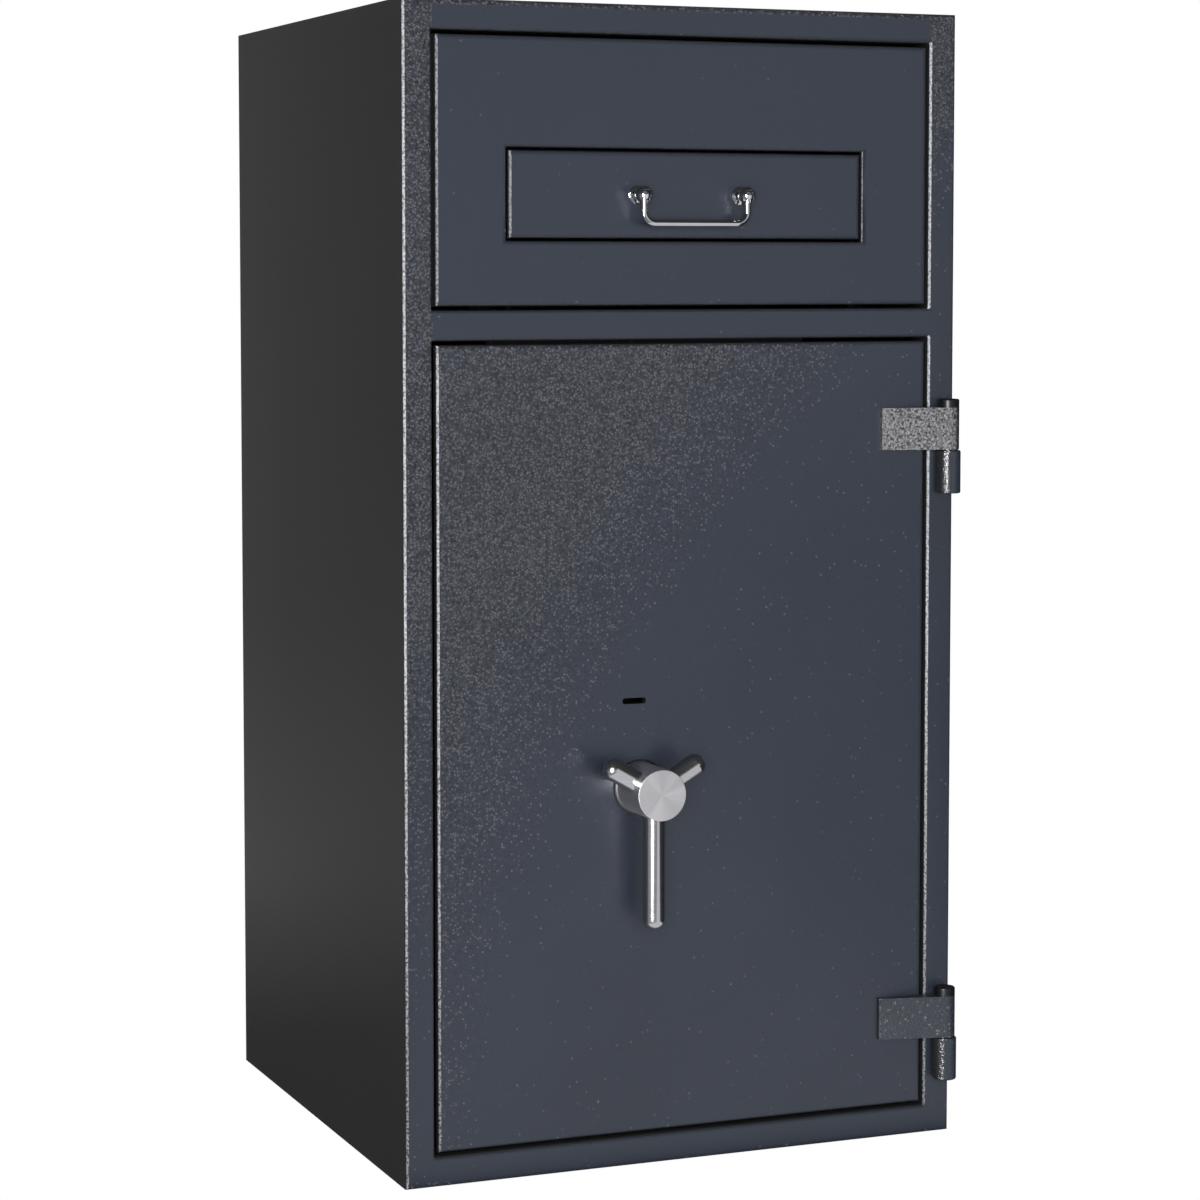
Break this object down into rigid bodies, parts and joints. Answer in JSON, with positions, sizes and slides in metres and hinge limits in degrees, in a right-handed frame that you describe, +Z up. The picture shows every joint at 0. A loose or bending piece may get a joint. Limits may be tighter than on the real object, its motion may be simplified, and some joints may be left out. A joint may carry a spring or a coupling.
{
  "type": "drop safe with deposit drawer",
  "caption": "Upright drop safe with a hinged vault door, spoke handle, rack-driven locking bolts and a deposit drawer above whose falling floor drops cash into the vault.",
  "frame": {"origin": "centre of the base plate's underside", "axes": "+Z up, -Y out of the door side, +X to the right seen from the front, where the hinges are"},
  "size_m": [0.5165, 0.54, 1],
  "materials": {
    "textured_paint": "anthracite textured enamel with a fine metallic fleck",
    "zinc_plated_steel": "dull zinc-plated sheet and bar",
    "turned_steel": "bright turned and milled steel",
    "brushed_steel": "brushed nickel-coloured steel",
    "chrome_plate": "polished chrome plate",
    "bronze": "sintered bronze",
    "black_plastic": "moulded black plastic"
  },
  "bodies": {
    "cabinet": {"left_stile": "textured_paint", "right_stile": "textured_paint", "top_rail": "textured_paint", "middle_rail": "textured_paint", "bottom_rail": "textured_paint", "left_wall": "textured_paint", "right_wall": "textured_paint", "back_plate": "textured_paint", "top_plate": "textured_paint", "base_plate": "textured_paint", "vault_divider": "textured_paint", "drop_chute": "textured_paint", "upper_panel": "textured_paint", "left_panel_bracket": "textured_paint", "right_panel_bracket": "textured_paint", "left_runner": "textured_paint", "right_runner": "textured_paint", "left_lift_rail": "black_plastic", "right_lift_rail": "black_plastic", "upper_hinge_post": "textured_paint", "lower_hinge_post": "textured_paint"},
    "drawer": {"drawer_front": "textured_paint", "drawer_tray": "zinc_plated_steel", "left_slide": "turned_steel", "right_slide": "turned_steel", "left_pull_post": "chrome_plate", "right_pull_post": "chrome_plate"},
    "bail": {"drawer_bail": "chrome_plate"},
    "falling_floor": {"drop_floor": "zinc_plated_steel"},
    "door": {"door_plate": "textured_paint", "door_pan": "textured_paint", "door_cover": "textured_paint", "dead_bar": "zinc_plated_steel", "upper_hinge_strap": "textured_paint", "lower_hinge_strap": "textured_paint", "upper_hinge_cap": "black_plastic", "lower_hinge_cap": "black_plastic", "handle_rose": "brushed_steel", "spindle_bearing": "bronze", "side_rack_guide": "zinc_plated_steel", "top_rod_guide": "zinc_plated_steel", "bottom_rod_guide": "zinc_plated_steel", "lock_case": "zinc_plated_steel"},
    "handle": {"handle_hub": "brushed_steel", "long_spoke": "brushed_steel", "left_short_spoke": "brushed_steel", "right_short_spoke": "brushed_steel", "spindle": "turned_steel", "pinion": "turned_steel"},
    "side_bolt_set": {"side_rack_bar": "turned_steel", "throw_bar": "zinc_plated_steel", "lower_side_bolt": "turned_steel", "middle_side_bolt": "turned_steel", "upper_side_bolt": "turned_steel"},
    "top_bolt_set": {"top_rack_rod": "turned_steel", "top_bolt": "turned_steel"},
    "bottom_bolt_set": {"bottom_rack_rod": "turned_steel", "bottom_bolt": "turned_steel"},
    "key_bolt": {"lock_bolt": "bronze"}
  },
  "joints": [
    {"name": "door_swing", "type": "hinge", "parent": "cabinet", "child": "door", "pos_m": [0.248, -0.255, 0.35], "axis": [0, 0, 1], "range_deg": [0, 120]},
    {"name": "handle_turn", "type": "hinge", "parent": "door", "child": "handle", "pos_m": [-0.045, -0.245, 0.331], "axis": [0, -1, 0], "range_deg": [0, 90]},
    {"name": "side_bolts_throw", "type": "slide", "parent": "door", "child": "side_bolt_set", "axis": [-1, 0, 0], "range_m": [0, 0.02514]},
    {"name": "top_bolt_throw", "type": "slide", "parent": "door", "child": "top_bolt_set", "axis": [0, 0, 1], "range_m": [0, 0.02514]},
    {"name": "bottom_bolt_throw", "type": "slide", "parent": "door", "child": "bottom_bolt_set", "axis": [0, 0, -1], "range_m": [0, 0.02514]},
    {"name": "key_bolt_throw", "type": "slide", "parent": "door", "child": "key_bolt", "axis": [1, 0, 0], "range_m": [0, 0.01]},
    {"name": "drawer_pull", "type": "slide", "parent": "cabinet", "child": "drawer", "axis": [0, -1, 0], "range_m": [0, 0.14]},
    {"name": "bail_lift", "type": "hinge", "parent": "drawer", "child": "bail", "pos_m": [0, -0.261, 0.839], "axis": [-1, 0, 0], "range_deg": [0, 90]},
    {"name": "falling_floor_tilt", "type": "hinge", "parent": "drawer", "child": "falling_floor", "pos_m": [0, -0.179, 0.8092], "axis": [1, 0, 0], "range_deg": [0, 36.01]}
  ],
  "couplings": [
    {"joint": "side_bolts_throw", "follows": "handle_turn", "m_per_rad": 0.016},
    {"joint": "top_bolt_throw", "follows": "handle_turn", "m_per_rad": 0.016},
    {"joint": "bottom_bolt_throw", "follows": "handle_turn", "m_per_rad": 0.016},
    {"joint": "falling_floor_tilt", "follows": "drawer_pull", "rad_per_m": 4.488}
  ]
}
